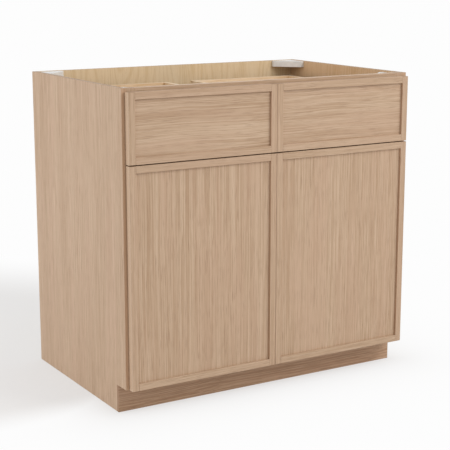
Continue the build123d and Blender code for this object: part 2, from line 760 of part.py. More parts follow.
with BuildPart() as cabinet_slides:
    with BuildSketch(facing_front(slide_front_y + slide_length)):
        for slide_x in slide_places:
            with Locations((slide_x, slide_bottom + channel_height / 2)):
                Rectangle(slide_width, channel_height)
                Rectangle(
                    slide_width - 2 * channel_sheet, channel_height - 2 * channel_sheet, mode=Mode.SUBTRACT
                )
            with Locations((slide_x, slide_bottom + channel_height - channel_sheet / 2)):
                Rectangle(lip_opening, channel_sheet, mode=Mode.SUBTRACT)
    extrude(amount=slide_length)
    for slide_x in slide_places:
        board(
            (slide_x - slide_width / 2, frame_back_y, slide_bottom - tab_height),
            (slide_x + slide_width / 2, frame_back_y + channel_sheet, slide_bottom + channel_sheet),
        )
    place(tab_pilot, tab_screws, Mode.SUBTRACT)
    mirror(about=Plane.YZ)
save(cabinet_slides.part, "drawer_slide_rails")

# Rear brackets: saddles on the back panel that hold the ends of the cabinet's channels
saddle_front_y = slide_front_y + slide_length - saddle_grip
saddle_top = slide_bottom + channel_height - channel_sheet
saddle_width = slide_width + 2 * saddle_wall
with BuildPart() as slide_rear_brackets:
    for slide_x in slide_places:
        saddle_x = slide_x - saddle_width / 2
        board(
            (saddle_x, saddle_front_y, slide_bottom - saddle_wall),
            (saddle_x + saddle_width, back_inner_y, saddle_top),
        )
        board(
            (saddle_x, back_inner_y - saddle_plate_thickness, slide_bottom - saddle_plate_height),
            (saddle_x + saddle_width, back_inner_y, slide_bottom),
        )
        trench(
            (slide_x - slide_width / 2, saddle_front_y, slide_bottom),
            (slide_x + slide_width / 2, slide_front_y + slide_length + saddle_fit, saddle_top),
        )
    place(saddle_pilot, saddle_screws, Mode.SUBTRACT)
    mirror(about=Plane.YZ)
save(slide_rear_brackets.part, "slide_rear_brackets")

# Locking clips under the drawers' bottoms, between the box front and the channels
with BuildPart() as locking_clips:
    for slide_x, inward in zip(slide_places, (1, -1)):
        clip_x = slide_x + inward * slide_width / 2
        clip_side_x = min(clip_x, clip_x + inward * clip_width)
        with BuildSketch(Plane.YZ.offset(clip_side_x)):
            with BuildLine():
                Polyline(
                    (box_inner_front_y, drawer_bottom_z),
                    (box_inner_front_y + clip_length, drawer_bottom_z),
                    (box_inner_front_y + clip_length, drawer_bottom_z - clip_height / 2),
                    (box_inner_front_y + clip_length / 2, drawer_bottom_z - clip_height),
                    (box_inner_front_y + clip_nose, drawer_bottom_z - clip_height),
                    (box_inner_front_y, drawer_bottom_z - clip_height + clip_nose),
                    close=True,
                )
            make_face()
        extrude(amount=clip_width)
save_pair(locking_clips, "{}_drawer_locking_clips")

# Screws that hold the brackets, the hinge arms and the slides to the box
bracket_screw = screw(bracket_screw_reach)
arm_screw = screw(arm_screw_reach)
tab_screw = screw(tab_screw_reach)
saddle_screw = screw(saddle_screw_reach)
with BuildPart() as cabinet_screws:
    place(bracket_screw, bracket_screws)
    place(arm_screw, arm_screws)
    place(tab_screw, tab_screws)
    place(saddle_screw, saddle_screws)
    mirror(about=Plane.YZ)
save(cabinet_screws.part, "cabinet_screws")
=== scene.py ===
"""Kitchen base cabinet: finishes, small fittings, stage and camera round its solids.

Laid out as an add-on and run as a script.
"""

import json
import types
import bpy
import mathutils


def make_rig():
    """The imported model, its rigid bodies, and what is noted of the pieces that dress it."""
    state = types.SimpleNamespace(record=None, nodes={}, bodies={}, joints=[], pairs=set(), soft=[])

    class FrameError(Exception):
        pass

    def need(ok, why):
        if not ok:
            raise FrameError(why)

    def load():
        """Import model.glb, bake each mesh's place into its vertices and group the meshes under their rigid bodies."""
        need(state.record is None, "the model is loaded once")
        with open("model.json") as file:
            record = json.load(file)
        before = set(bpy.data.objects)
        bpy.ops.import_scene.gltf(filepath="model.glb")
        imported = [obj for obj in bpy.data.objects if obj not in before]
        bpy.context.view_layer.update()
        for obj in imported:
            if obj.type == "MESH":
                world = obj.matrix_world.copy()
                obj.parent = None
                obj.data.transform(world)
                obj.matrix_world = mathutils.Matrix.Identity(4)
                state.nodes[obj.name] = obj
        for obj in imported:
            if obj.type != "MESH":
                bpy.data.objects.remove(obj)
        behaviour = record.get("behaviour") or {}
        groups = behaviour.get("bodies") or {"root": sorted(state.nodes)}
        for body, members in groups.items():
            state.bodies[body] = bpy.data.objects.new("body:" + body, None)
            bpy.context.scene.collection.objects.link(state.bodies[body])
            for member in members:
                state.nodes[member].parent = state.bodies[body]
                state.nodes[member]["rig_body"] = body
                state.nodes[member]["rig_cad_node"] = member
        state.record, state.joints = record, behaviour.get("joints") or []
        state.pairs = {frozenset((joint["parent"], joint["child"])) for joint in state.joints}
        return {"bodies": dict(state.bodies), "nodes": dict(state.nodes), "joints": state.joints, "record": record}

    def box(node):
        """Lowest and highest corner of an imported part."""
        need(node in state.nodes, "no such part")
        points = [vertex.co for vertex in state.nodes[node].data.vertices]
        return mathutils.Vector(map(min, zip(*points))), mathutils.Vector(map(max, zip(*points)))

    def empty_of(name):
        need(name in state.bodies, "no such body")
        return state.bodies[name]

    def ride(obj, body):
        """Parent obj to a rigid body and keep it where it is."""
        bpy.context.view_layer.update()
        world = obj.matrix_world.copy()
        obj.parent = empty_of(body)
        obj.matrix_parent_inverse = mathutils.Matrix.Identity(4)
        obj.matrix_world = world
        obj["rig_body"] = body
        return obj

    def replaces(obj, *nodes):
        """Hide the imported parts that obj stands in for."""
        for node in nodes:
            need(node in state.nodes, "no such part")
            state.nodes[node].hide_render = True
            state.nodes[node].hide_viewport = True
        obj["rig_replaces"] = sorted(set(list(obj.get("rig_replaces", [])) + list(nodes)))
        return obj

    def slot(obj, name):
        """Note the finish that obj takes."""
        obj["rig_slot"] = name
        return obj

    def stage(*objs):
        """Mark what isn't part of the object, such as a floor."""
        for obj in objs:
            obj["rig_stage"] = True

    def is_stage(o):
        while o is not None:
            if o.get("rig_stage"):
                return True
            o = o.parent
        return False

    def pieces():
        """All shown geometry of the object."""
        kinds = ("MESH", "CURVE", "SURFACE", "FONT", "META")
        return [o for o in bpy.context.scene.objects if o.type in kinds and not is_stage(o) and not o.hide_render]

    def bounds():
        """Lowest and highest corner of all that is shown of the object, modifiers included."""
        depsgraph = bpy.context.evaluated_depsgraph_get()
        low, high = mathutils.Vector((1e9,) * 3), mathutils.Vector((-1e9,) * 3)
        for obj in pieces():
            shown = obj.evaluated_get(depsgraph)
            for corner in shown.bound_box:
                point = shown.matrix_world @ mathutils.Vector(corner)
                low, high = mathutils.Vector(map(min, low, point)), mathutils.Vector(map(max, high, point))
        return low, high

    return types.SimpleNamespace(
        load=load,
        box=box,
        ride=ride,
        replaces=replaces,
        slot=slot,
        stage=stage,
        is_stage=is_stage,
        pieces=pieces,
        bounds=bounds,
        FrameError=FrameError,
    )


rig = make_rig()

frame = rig.load()
cad_low, cad_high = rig.bounds()

import json
from math import pi, radians

import bmesh
import bpy
from bpy.props import FloatProperty, FloatVectorProperty, IntProperty, PointerProperty
from mathutils import Euler, Matrix, Vector

bl_info = {
    "name": "Kitchen Base Cabinet",
    "version": (1, 0, 0),
    "blender": (4, 5, 0),
    "location": "View3D > Sidebar > Cabinet",
    "description": "Finishes and small fittings of a face-frame kitchen base cabinet",
    "category": "Object",
}

SIZE_FILE = "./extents.json"
SIDES = ("left", "right")
nodes = frame["nodes"]

# The bottom panel sits in grooves, so the inner faces of the side panels lie inside its ends
GROOVE_DEPTH = 0.005
side_inner_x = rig.box("bottom_panel")[1].x - GROOVE_DEPTH


# Properties


def srgb(red, green, blue):
    """Return a colour given in the 0 to 255 steps of a screen as linear light."""
    steps = (red / 255, green / 255, blue / 255)
    return tuple(s / 12.92 if s <= 0.04045 else ((s + 0.055) / 1.055) ** 2.4 for s in steps)


def colour_property(name, description, default):
    """Return a colour property with its default."""
    return FloatVectorProperty(
        name=name, description=description, subtype="COLOR", min=0, max=1, default=default
    )


def length_property(name, description, default):
    """Return a length property with its default in metres."""
    return FloatProperty(
        name=name, description=description, unit="LENGTH", min=0, precision=4, default=default
    )


def place_property(name, description, default):
    """Return a place property with its default in metres."""
    return FloatVectorProperty(
        name=name, description=description, subtype="TRANSLATION", default=default
    )


def share_property(name, description, default):
    """Return a property from 0 to 1 with its default."""
    return FloatProperty(
        name=name, description=description, subtype="FACTOR", min=0, max=1, default=default
    )


def power_property(name, description, default):
    """Return a lamp's power with its default in watts."""
    return FloatProperty(name=name, description=description, unit="POWER", default=default)


def angle_property(name, description, degrees):
    """Return an angle property with its default given in degrees."""
    return FloatProperty(
        name=name, description=description, subtype="ANGLE", default=radians(degrees)
    )


class CabinetWood(bpy.types.PropertyGroup):
    """Colours and grain of the oak, the birch plywood and the drawer boxes"""

    oak_light: colour_property("Oak light", "Early wood of the oak", srgb(204, 177, 150))
    oak_dark: colour_property("Oak dark", "Late wood of the oak", srgb(178, 147, 118))
    oak_rose: colour_property("Oak rose", "Warmer cast of some oak streaks", srgb(196, 164, 138))
    oak_pore: colour_property("Oak pore", "Pores of the oak, flecks of the birch", srgb(138, 106, 81))
    oak_end: colour_property("Oak end", "Sawn end grain of the oak", srgb(158, 127, 100))
    # Painted shade: a darker, redder tint for the toe board, the inner edges of the fronts and the insides of the
    # sides
    painted_shade_tint: colour_property("Oak shade", "Painted shade of the toe board and inner faces", (0.82, 0.66, 0.57))
    # Painted shade: the darker colour of the side panels' front edge, which the fronts beside it shade
    reveal_shade: colour_property("Reveal shade", "Front edge of the side panels", srgb(189, 150, 117))
    birch_light: colour_property("Birch light", "Pale face of the birch plywood", srgb(226, 204, 170))
    birch_dark: colour_property("Birch dark", "Flamed streaks of the plywood", srgb(214, 188, 148))
    birch_end: colour_property("Birch end", "Sawn end grain of the birch", srgb(186, 152, 106))
    drawer_light: colour_property("Drawer light", "Pale wood of the drawer boxes", srgb(233, 210, 180))
    drawer_dark: colour_property("Drawer dark", "Grain of the drawer boxes", srgb(216, 187, 150))
    # Painted light: the paler colour of the drawers' top edges, as lit from above
    drawer_lit_top: colour_property("Drawer top", "Top edges of the drawers, sanded and painted paler", srgb(233, 212, 187))
    ply_light: colour_property("Ply light", "Plies with their grain along an edge", srgb(186, 156, 124))
    ply_dark: colour_property("Ply dark", "Plies with their grain across an edge", srgb(146, 113, 82))
    ply_thickness: length_property("Ply", "Thickness of one ply at a raw edge", 0.0021)
    band_width: length_property("Band", "Width of the oak's broad tone bands", 0.036)
    cast_width: length_property("Cast", "Width of the oak's warmer streaks", 0.0504)
    flame_width: length_property("Flame", "Width of the birch's soft flames", 0.0468)
    arch_width: length_property("Arch", "Width of the birch's growth arches", 0.0864)
    line_width: length_property("Line", "Width of the growth lines", 0.0024)
    pore_width: length_property("Pore", "Width of the fine pore streaks", 0.0012)
    sway: length_property("Sway", "How far the grain wanders sideways", 0.010)
    sway_length: length_property("Sway length", "Length over which the grain wanders", 0.30)
    relief: length_property("Relief", "Depth of the open grain", 0.00012)


class CabinetHardware(bpy.types.PropertyGroup):
    """Colours and small sizes of the metal, plastic and rubber fittings"""

    nickel: colour_property("Nickel", "Plating of hinges, screws and shelf pins", srgb(196, 193, 186))
    zinc: colour_property("Zinc", "Plating of the slides", srgb(178, 182, 186))
    white_plastic: colour_property("White plastic", "Moulded corner brackets", srgb(232, 231, 229))
    grey_plastic: colour_property("Grey plastic", "Clips and rear brackets", srgb(150, 151, 152))
    rubber: colour_property("Rubber", "Clear bumpers", srgb(222, 224, 222))
    recess_depth: length_property("Recess", "Depth of the cross recess in a screw's head", 0.0009)
    thread_depth: length_property("Thread depth", "Height of the thread on a screw", 0.00035)
    thread_pitch: length_property("Thread pitch", "Length of one turn of the thread", 0.0016)
    pad_thickness: length_property("Pad", "Thickness of a shelf pin's pad", 0.0022)
    pad_corner: length_property("Pad corner", "Rounding of the pad's outer corners", 0.0045)
    bumper_steps: IntProperty(name="Bumper steps", description="Facets round a bumper", min=8, default=28)


class CabinetStage(bpy.types.PropertyGroup):
    """Floor, light and camera"""

    floor_radius: length_property("Floor", "Radius of the floor", 9.0)
    floor_colour: colour_property("Floor colour", "Pale studio floor", srgb(232, 230, 229))
    backdrop: colour_property("Backdrop", "White of the backdrop", srgb(253, 253, 253))
    fade_centre: place_property("Fade centre", "Middle of the shaded floor", (-1.0, 0.45, 0))
    fade_start: length_property("Fade start", "Where the floor starts to fade to white", 0.9)
    fade_end: length_property("Fade end", "Where the floor is plain white", 1.5)
    front_start: length_property("Front start", "Where the floor starts to whiten in front", 0.04)
    front_end: length_property("Front end", "Where the floor is white in front", 0.23)
    haze: share_property("Haze", "Share of plain white in the shade", 0.48)
    contact_white: share_property("Contact white", "Share of plain white at the foot", 0.58)
    contact_reach: length_property("Contact reach", "Where the foot's shade is down to a third", 0.09)
    sky: FloatProperty(name="Sky", description="Strength of the light all round", min=0, default=0.70)
    key_power: power_property("Key", "Power of the front right lamp", 88)
    key_place: place_property("Key place", "Place of the front right lamp", (2.3, -3.2, 3.3))
    side_power: power_property("Side", "Power of the back left lamp", 37)
    side_place: place_property("Side place", "Place of the back left lamp", (-3.4, 1.1, 1.0))
    lamp_size: length_property("Lamp size", "Side of each square lamp", 2.4)
    lens: FloatProperty(name="Lens", description="Focal length", unit="CAMERA", default=98.29)
    camera_place: place_property("Camera place", "Place of the camera", (-1.824, -3.070, 1.183))
    camera_turn: angle_property("Turn", "Camera's turn to the right of the depth", 30.94)
    camera_dip: angle_property("Dip", "Camera's dip below the horizon", 12.00)


# Materials


class Shader:
    """A shader's nodes while they are put together."""

    def __init__(self, tree):
        self.tree = tree
        tree.nodes.clear()

    def add(self, kind, inputs=None, **settings):
        """Return a new node, with its settings made and its inputs set or linked."""
        node = self.tree.nodes.new(kind)
        for key, value in settings.items():
            setattr(node, key, value)
        for key, value in (inputs or {}).items():
            if isinstance(value, bpy.types.NodeSocket):
                self.tree.links.new(value, node.inputs[key])
            else:
                node.inputs[key].default_value = value
        return node

    def math(self, operation, *values):
        """Return the result of a maths node."""
        return self.add("ShaderNodeMath", dict(enumerate(values)), operation=operation).outputs[0]

    def plus(self, first, second):
        """Return the sum of two values."""
        return self.math("ADD", first, second)

    def minus(self, first, second):
        """Return the first value less the second."""
        return self.math("SUBTRACT", first, second)

    def times(self, first, second):
        """Return the product of two values."""
        return self.math("MULTIPLY", first, second)

    def vector(self, operation, *values):
        """Return the result of a vector maths node."""
        return self.add("ShaderNodeVectorMath", dict(enumerate(values)), operation=operation).outputs[0]

    def distance(self, first, second):
        """Return the distance between two places."""
        inputs = {0: first, 1: second}
        return self.add("ShaderNodeVectorMath", inputs, operation="DISTANCE").outputs["Value"]

    def blend(self, factor, first, second):
        """Return the mix of two colours."""
        return self.add("ShaderNodeMix", {0: factor, 6: first, 7: second}, data_type="RGBA").outputs[2]

    def rise(self, value, low, high, bottom=0.0, top=1.0):
        """Return a value that climbs smoothly from bottom to top between low and high."""
        inputs = {"Value": value, 1: low, 2: high, 3: bottom, 4: top}
        return self.add("ShaderNodeMapRange", inputs, interpolation_type="SMOOTHSTEP").outputs[0]

    def noise(self, vector, scale, detail=2.0, roughness=0.55, output="Fac"):
        """Return a noise on the given coordinates."""
        inputs = {"Vector": vector, "Scale": scale, "Detail": detail, "Roughness": roughness}
        return self.add("ShaderNodeTexNoise", inputs).outputs[output]


class Finish(Shader):
    """A procedural material while its nodes are put together."""

    def __init__(self, name):
        self.material = bpy.data.materials.new(name)
        self.material.use_nodes = True
        super().__init__(self.material.node_tree)
        self.coordinates = self.add("ShaderNodeTexCoord").outputs
        self.spot = self.coordinates["Object"]

    def axes(self, output):
        """Return the three parts of a texture coordinate."""
        return self.add("ShaderNodeSeparateXYZ", {0: self.coordinates[output]}).outputs

    def squareness(self, axis):
        """Return how squarely a face looks along an axis, either way."""
        return self.math("ABSOLUTE", self.axes("Normal")["XYZ".index(axis)])

    def surface(self, inputs, height=None, depth=0.0):
        """Close the material with a shader, with its relief where there is one."""
        shader = self.add("ShaderNodeBsdfPrincipled", inputs)
        if height is not None:
            bump = self.add("ShaderNodeBump", {"Height": height, "Distance": depth})
            self.tree.links.new(bump.outputs[0], shader.inputs["Normal"])
        self.add("ShaderNodeOutputMaterial", {0: shader.outputs[0]})
        return self.material


# Where the values of a noise mostly lie, and their middle
NOISE_RANGE = (0.3, 0.7)
NOISE_MIDDLE = 0.5

# How squarely a face looks along an axis, to count as lying across it, as sawn or as fully painted with light or shade
ACROSS = 0.5
SAWN = 0.7
LIGHT_AND_SHADE_RANGE = (ACROSS, 0.9)

# How the grain's coordinates turn, and how far they shift from one piece to the next
GRAIN_TURN = {"X": (0, -pi / 2, 0), "Y": (pi / 2, 0, 0), "Z": (0, 0, 0)}
GRAIN_SHIFT = (0.37, 0.23, 0.71)

# Share of the grain's sway in lying and standing oak and in birch
LYING_OAK_SWAY = 0.6
STANDING_OAK_SWAY = 0.4
BIRCH_SWAY = 2.0

# Share of the broad bands in the oak's tone, and of the flames in the birch's: the rest are growth lines
OAK_BANDS = 0.22
BIRCH_FLAMES = 0.55

# Where late wood, warmer streaks, pores and flecks start and are full, on the noise that draws them
OAK_LATE = (0.35, 0.65)
OAK_CAST = (0.42, 0.70)
OAK_PORES = (0.54, 0.72)
BIRCH_LATE = (0.38, 0.68)
BIRCH_FLECKS = (0.62, 0.78)

# How strongly the warmer streaks, the pores and the flecks colour the wood
CAST_SHARE = 0.45
PORE_SHARE = 0.42
FLECK_SHARE = 0.22

# How many growth rings the birch's figure has, how wide they are drawn and how they shift its tone
RING_COUNT = 16
RING_RANGE = (-0.2, 1.0)
RING_TONE = (-0.03, 0.09)

# How strongly the speckled end grain covers the wood, and how soft the lines between plies are
END_SHARES = (0.55, 0.95)
PLY_BLUR = 0.45

# How far late wood stands up, against a pore's depth of 1, and the lacquer's roughness and gloss
LATE_HEIGHT = 0.3
PORE_ROUGHNESS = 0.60
WOOD_ROUGHNESS = 0.46
LACQUER_GLOSS = 0.32

# Share of the painted shade on the toe board, the inner edges of the fronts' frames and inside the sides
TOE_SHADE = 0.5
EDGE_SHADE = 0.5
INSIDE_SHADE = 0.68

# Share of the painted light on the fronts' outer edges, of the painted shade on the sides' front edge, and of the
# painted light on the top edges
OUTER_PAINTED_LIGHT = 0.75
REVEAL_SHADE_SHARE = 0.55
TOP_PAINTED_LIGHT = 0.7

# How far the outer edge of a front reaches in from its side, and how near a face counts as inside
EDGE_REACH = 0.004
FACE_TOLERANCE = 0.0004

# How much less the grain stands out on narrow members, and how much more on the toe board
MEMBER_CALM = 0.08
TOE_CALM = -0.06


def grain_place(finish, axis, offset, sway, sway_length):
    """Return coordinates whose Z runs along the grain, which wanders a little from side to side."""
    inputs = {"Vector": finish.spot, "Location": offset, "Rotation": GRAIN_TURN[axis]}
    straight = finish.add("ShaderNodeMapping", inputs).outputs[0]
    drift = finish.noise(straight, 1 / sway_length, detail=1.0, output="Color")
    centred = finish.vector("SUBTRACT", drift, (NOISE_MIDDLE, NOISE_MIDDLE, NOISE_MIDDLE))
    return finish.vector("MULTIPLY_ADD", centred, (2 * sway, 2 * sway, 0), straight)


def streaks(finish, grain, width, stretch, detail=2.0):
    """Return streaks of about the given width, drawn out along the grain."""
    across = 1 / width
    stretched = finish.vector("MULTIPLY", grain, (across, across, across / stretch))
    return finish.noise(stretched, 1.0, detail)


def with_ends(finish, wood, colour, end_colour, axis):
    """Return a wood's colour with darker, speckled end grain on the faces across the grain."""
    sawn = finish.math("GREATER_THAN", finish.squareness(axis), SAWN)
    speckle = finish.noise(finish.spot, 1 / wood.pore_width)
    share = finish.times(sawn, finish.rise(speckle, *NOISE_RANGE, *END_SHARES))
    return finish.blend(share, colour, (*end_colour, 1))


def oak(finish, wood, axis, offset, calm=0.0):
    """Return the colour and the relief of straight-grained oak veneer."""
    sway = wood.sway * (LYING_OAK_SWAY if axis == "X" else STANDING_OAK_SWAY)
    grain = grain_place(finish, axis, offset, sway, wood.sway_length)
    bands = streaks(finish, grain, wood.band_width, stretch=26)
    lines = streaks(finish, grain, wood.line_width, stretch=220, detail=3.0)
    pores = streaks(finish, grain, wood.pore_width, stretch=45, detail=1.0)
    cast = streaks(finish, grain, wood.cast_width, stretch=9)
    tone = finish.plus(finish.times(bands, OAK_BANDS), finish.times(lines, 1 - OAK_BANDS))
    late = finish.rise(tone, OAK_LATE[0] - calm, OAK_LATE[1] + calm)
    warmer = finish.rise(cast, *OAK_CAST, top=CAST_SHARE)
    open_pores = finish.rise(pores, *OAK_PORES)
    colour = finish.blend(late, (*wood.oak_light, 1), (*wood.oak_dark, 1))
    colour = finish.blend(warmer, colour, (*wood.oak_rose, 1))
    colour = finish.blend(finish.times(open_pores, PORE_SHARE), colour, (*wood.oak_pore, 1))
    relief = finish.minus(finish.times(late, LATE_HEIGHT), open_pores)
    return with_ends(finish, wood, colour, wood.oak_end, axis), relief


def birch(finish, wood, axis, offset, light, dark):
    """Return the colour and the relief of birch: soft flames, rings in long arches and fine lines."""
    grain = grain_place(finish, axis, offset, wood.sway * BIRCH_SWAY, wood.sway_length)
    flames = streaks(finish, grain, wood.flame_width, stretch=12)
    arches = streaks(finish, grain, wood.arch_width, stretch=8, detail=0.0)
    lines = streaks(finish, grain, wood.line_width, stretch=60)
    flecks = streaks(finish, grain, wood.pore_width, stretch=14, detail=1.0)
    rings = finish.math("SINE", finish.times(arches, 2 * pi * RING_COUNT))
    tone = finish.plus(finish.times(flames, BIRCH_FLAMES), finish.times(lines, 1 - BIRCH_FLAMES))
    tone = finish.plus(tone, finish.rise(rings, *RING_RANGE, *RING_TONE))
    late = finish.rise(tone, *BIRCH_LATE)
    marks = finish.rise(flecks, *BIRCH_FLECKS, top=FLECK_SHARE)
    colour = finish.blend(late, (*light, 1), (*dark, 1))
    colour = finish.blend(marks, colour, (*wood.oak_pore, 1))
    relief = finish.minus(finish.times(late, LATE_HEIGHT), marks)
    return with_ends(finish, wood, colour, wood.birch_end, axis), relief


def raw_edge(finish, wood, axis):
    """Return the colour of a sawn plywood edge, whose plies lie along the given axis."""
    across = finish.axes("Object")["XYZ".index(axis)]
    wave = finish.math("SINE", finish.times(across, pi / wood.ply_thickness))
    fuzz = finish.minus(finish.noise(finish.spot, 1 / wood.line_width), NOISE_MIDDLE)
    layer = finish.rise(finish.plus(wave, fuzz), -PLY_BLUR, PLY_BLUR)
    return finish.blend(layer, (*wood.ply_light, 1), (*wood.ply_dark, 1))


def with_painted_shade(finish, tint, colour, share):
    """Return a colour with some painted shade: the darker, redder tint that stands in for the shade on edges and
    hidden faces.
    """
    inputs = {0: share, 6: colour, 7: (*tint, 1)}
    return finish.add("ShaderNodeMix", inputs, data_type="RGBA", blend_type="MULTIPLY").outputs[2]


def paint_top_light(finish, colour, pale):
    """Return a colour with painted light: paler on the faces that look up, where the light from above falls."""
    upward = finish.rise(finish.axes("Normal")[2], *LIGHT_AND_SHADE_RANGE, top=TOP_PAINTED_LIGHT)
    return finish.blend(upward, colour, (*pale, 1))


def stile_edges(finish, wood, name, colour):
    """Return the colour of two stiles, with painted light on their outer edges, where the side lamp falls, and painted
    shade on their inner edges, in the corners of the recess.
    """
    low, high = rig.box(name)
    from_middle = finish.math("ABSOLUTE", finish.minus(finish.axes("Object")[0], (low.x + high.x) / 2))
    outer = finish.math("GREATER_THAN", from_middle, (high.x - low.x) / 2 - EDGE_REACH)
    sideways = finish.rise(finish.squareness("X"), *LIGHT_AND_SHADE_RANGE)
    # Painted light: the outer edges, which face the side lamp, are blended towards the pale early wood
    pale = finish.times(finish.times(sideways, outer), OUTER_PAINTED_LIGHT)
    # Painted shade: the inner edges, in the corners of the recess, are darkened
    dark = finish.times(finish.times(sideways, finish.minus(1.0, outer)), EDGE_SHADE)
    colour = finish.blend(pale, colour, (*wood.oak_light, 1))
    return with_painted_shade(finish, wood.painted_shade_tint, colour, dark)


def lacquered(finish, wood, colour, relief):
    """Close a wood material: a thin satin lacquer over open grain."""
    roughness = finish.rise(relief, -1.0, LATE_HEIGHT, PORE_ROUGHNESS, WOOD_ROUGHNESS)
    inputs = {"Base Color": colour, "Roughness": roughness, "Specular IOR Level": LACQUER_GLOSS}
    return finish.surface(inputs, relief, wood.relief)


def offset_of(name):
    """Return a shift of the grain that belongs to one piece, so that no two pieces look alike."""
    turn = sorted(nodes).index(name)
    return tuple(turn * step for step in GRAIN_SHIFT)


def oak_grain():
    """Return the oak pieces with the axis that their grain runs along."""
    grain = {"toe_kick": "X"}
    for part in ("left_stile", "right_stile", "center_stile"):
        grain[f"face_frame_{part}"] = "Z"
    for part in ("top_rail", "mid_rail", "bottom_rail"):
        grain[f"face_frame_{part}"] = "X"
    for side in SIDES:
        for front, panel_axis in (("door", "Z"), ("drawer_front", "X")):
            grain[f"{side}_{front}_stiles"] = "Z"
            grain[f"{side}_{front}_rails"] = "X"
            grain[f"{side}_{front}_panel"] = panel_axis
    return grain


def oak_finish(name, axis, wood):
    """Return the oak of one piece, with the tints that belong to its place."""
    finish = Finish(f"oak {name}")
    calm = 0.0
    if name == "toe_kick":
        calm = TOE_CALM
    elif name.endswith(("stile", "stiles", "rail", "rails")):
        calm = MEMBER_CALM
    colour, relief = oak(finish, wood, axis, offset_of(name), calm)
    if name == "toe_kick":
        # Painted shade: the toe board, in the shade under the cabinet, is darkened and reddened
        colour = with_painted_shade(finish, wood.painted_shade_tint, colour, TOE_SHADE)
    elif name == "face_frame_top_rail":
        # Painted light: the top rail's top face is paler, as lit from above
        colour = paint_top_light(finish, colour, wood.oak_light)
    elif name.endswith("stiles"):
        colour = stile_edges(finish, wood, name, colour)
    return lacquered(finish, wood, colour, relief)


def side_panel_finish(name, wood):
    """Return plywood that is oak outside, birch inside and raw at its other edges, with painted shade on its front
    edge and on its inside.
    """
    finish = Finish(name)
    offset = offset_of(name)
    outside, relief = oak(finish, wood, "Z", offset)
    inside = birch(finish, wood, "Z", offset, wood.birch_light, wood.birch_dark)[0]
    # Painted shade: the inside faces are darkened and reddened as by the shade and bounced light inside the box
    inside = with_painted_shade(finish, wood.painted_shade_tint, inside, INSIDE_SHADE)
    from_middle = finish.math("ABSOLUTE", finish.axes("Object")[0])
    hidden = finish.math("LESS_THAN", from_middle, side_inner_x + FACE_TOLERANCE)
    colour = finish.blend(hidden, outside, inside)
    # Painted shade: the front edge, shaded by the fronts beside it, is blended towards the reveal's shade colour
    backward = finish.axes("Normal")[1]
    front = finish.times(finish.math("LESS_THAN", backward, -ACROSS), REVEAL_SHADE_SHARE)
    colour = finish.blend(front, colour, (*wood.reveal_shade, 1))
    sawn = finish.math("MAXIMUM", finish.squareness("Z"), backward)
    raw = finish.math("GREATER_THAN", sawn, ACROSS)
    colour = finish.blend(raw, colour, raw_edge(finish, wood, "X"))
    return lacquered(finish, wood, colour, relief)


def panel_finish(name, wood, grain_axis, thickness_axis, banded_front=False):
    """Return birch plywood with raw edges, or with a birch band on the front edge."""
    finish = Finish(name)
    colour, relief = birch(finish, wood, grain_axis, offset_of(name), wood.birch_light, wood.birch_dark)
    raw = finish.math("LESS_THAN", finish.squareness(thickness_axis), ACROSS)
    if banded_front:
        raw = finish.times(raw, finish.math("GREATER_THAN", finish.axes("Normal")[1], -ACROSS))
    colour = finish.blend(raw, colour, raw_edge(finish, wood, thickness_axis))
    return lacquered(finish, wood, colour, relief)


def drawer_finish(name, axis, wood):
    """Return the pale birch of one board of a drawer box, with a sanded top edge that is painted paler, as lit from
    above.
    """
    finish = Finish(f"birch {name}")
    colour, relief = birch(finish, wood, axis, offset_of(name), wood.drawer_light, wood.drawer_dark)
    # Painted light: the top edge is paler, as lit from above
    colour = paint_top_light(finish, colour, wood.drawer_lit_top)
    return lacquered(finish, wood, colour, relief)


# Size of the clouding and of the finer marks on metal, plastic and rubber, in parts to the metre
PLATE_CLOUDS = 90.0
ROLLING_MARKS = (2600, 120, 2600)
PLASTIC_CLOUDS = 45.0
PLASTIC_GRAIN = 2200.0
RUBBER_CLOUDS = 300.0

# Where the clouding of the plating starts and is full, and where its marks turn it from smooth to rough
PLATE_RANGE = (0.35, 0.7)
MARKS_RANGE = (0.7, 1.3)

# Depth of the rolling marks and of the plastic's grain, and how much that grain changes the gloss
ROLLING_DEPTH = 0.00002
GRAIN_DEPTH = 0.00003
GRAIN_GLOSS = 0.06

# Clear rubber: smoothest and roughest place, light let through, refraction
RUBBER_ROUGHNESS = (0.22, 0.32)
RUBBER_CLEAR = 0.55
RUBBER_IOR = 1.45


def clouded(finish, cloud, colour, darkest, reach=NOISE_RANGE):
    """Return a colour that clouds over to a share of its own brightness."""
    darker = tuple(darkest * part for part in colour)
    return finish.blend(finish.rise(cloud, *reach), (*colour, 1), (*darker, 1))


def plated(name, colour, smooth, rough):
    """Return plated sheet steel with faint clouding and fine rolling marks."""
    finish = Finish(name)
    cloud = finish.noise(finish.spot, PLATE_CLOUDS, detail=3.0)
    marks = finish.noise(finish.vector("MULTIPLY", finish.spot, ROLLING_MARKS), 1.0)
    tint = clouded(finish, cloud, colour, darkest=0.78, reach=PLATE_RANGE)
    roughness = finish.rise(finish.plus(cloud, marks), *MARKS_RANGE, smooth, rough)
    inputs = {"Base Color": tint, "Roughness": roughness, "Metallic": 1.0}
    return finish.surface(inputs, marks, ROLLING_DEPTH)


def moulded(name, colour, roughness):
    """Return moulded plastic with a fine spark-eroded grain."""
    finish = Finish(name)
    tint = clouded(finish, finish.noise(finish.spot, PLASTIC_CLOUDS), colour, darkest=0.90)
    grain = finish.noise(finish.spot, PLASTIC_GRAIN)
    gloss = finish.rise(grain, *NOISE_RANGE, roughness - GRAIN_GLOSS, roughness + GRAIN_GLOSS)
    return finish.surface({"Base Color": tint, "Roughness": gloss}, grain, GRAIN_DEPTH)


